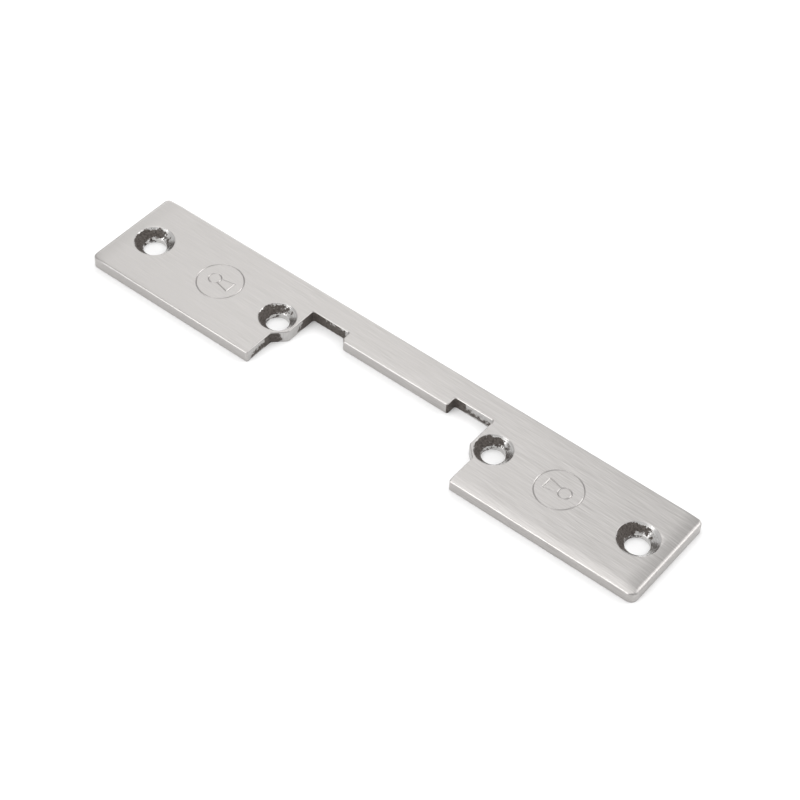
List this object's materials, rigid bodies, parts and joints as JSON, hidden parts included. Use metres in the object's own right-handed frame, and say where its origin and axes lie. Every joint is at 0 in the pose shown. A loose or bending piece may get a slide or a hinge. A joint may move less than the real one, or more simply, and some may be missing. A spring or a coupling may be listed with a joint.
{
  "type": "electric door strike face plate",
  "caption": "Short flat face plate for an electric door strike: brushed steel bar with countersunk screw holes and a latch window open on one long edge.",
  "frame": {"origin": "middle of the back face, which is also the middle of the bounding box's underside", "axes": "+X along the plate, +Y towards the long edge without the window, +Z out of the show face"},
  "size_m": [0.147, 0.025, 0.003],
  "materials": {
    "brushed_stainless": "satin, brushed along the length, with dark polishing residue left in the countersinks and on the window's walls"
  },
  "bodies": {
    "root": {"face_plate": "brushed_stainless"}
  },
  "joints": []
}
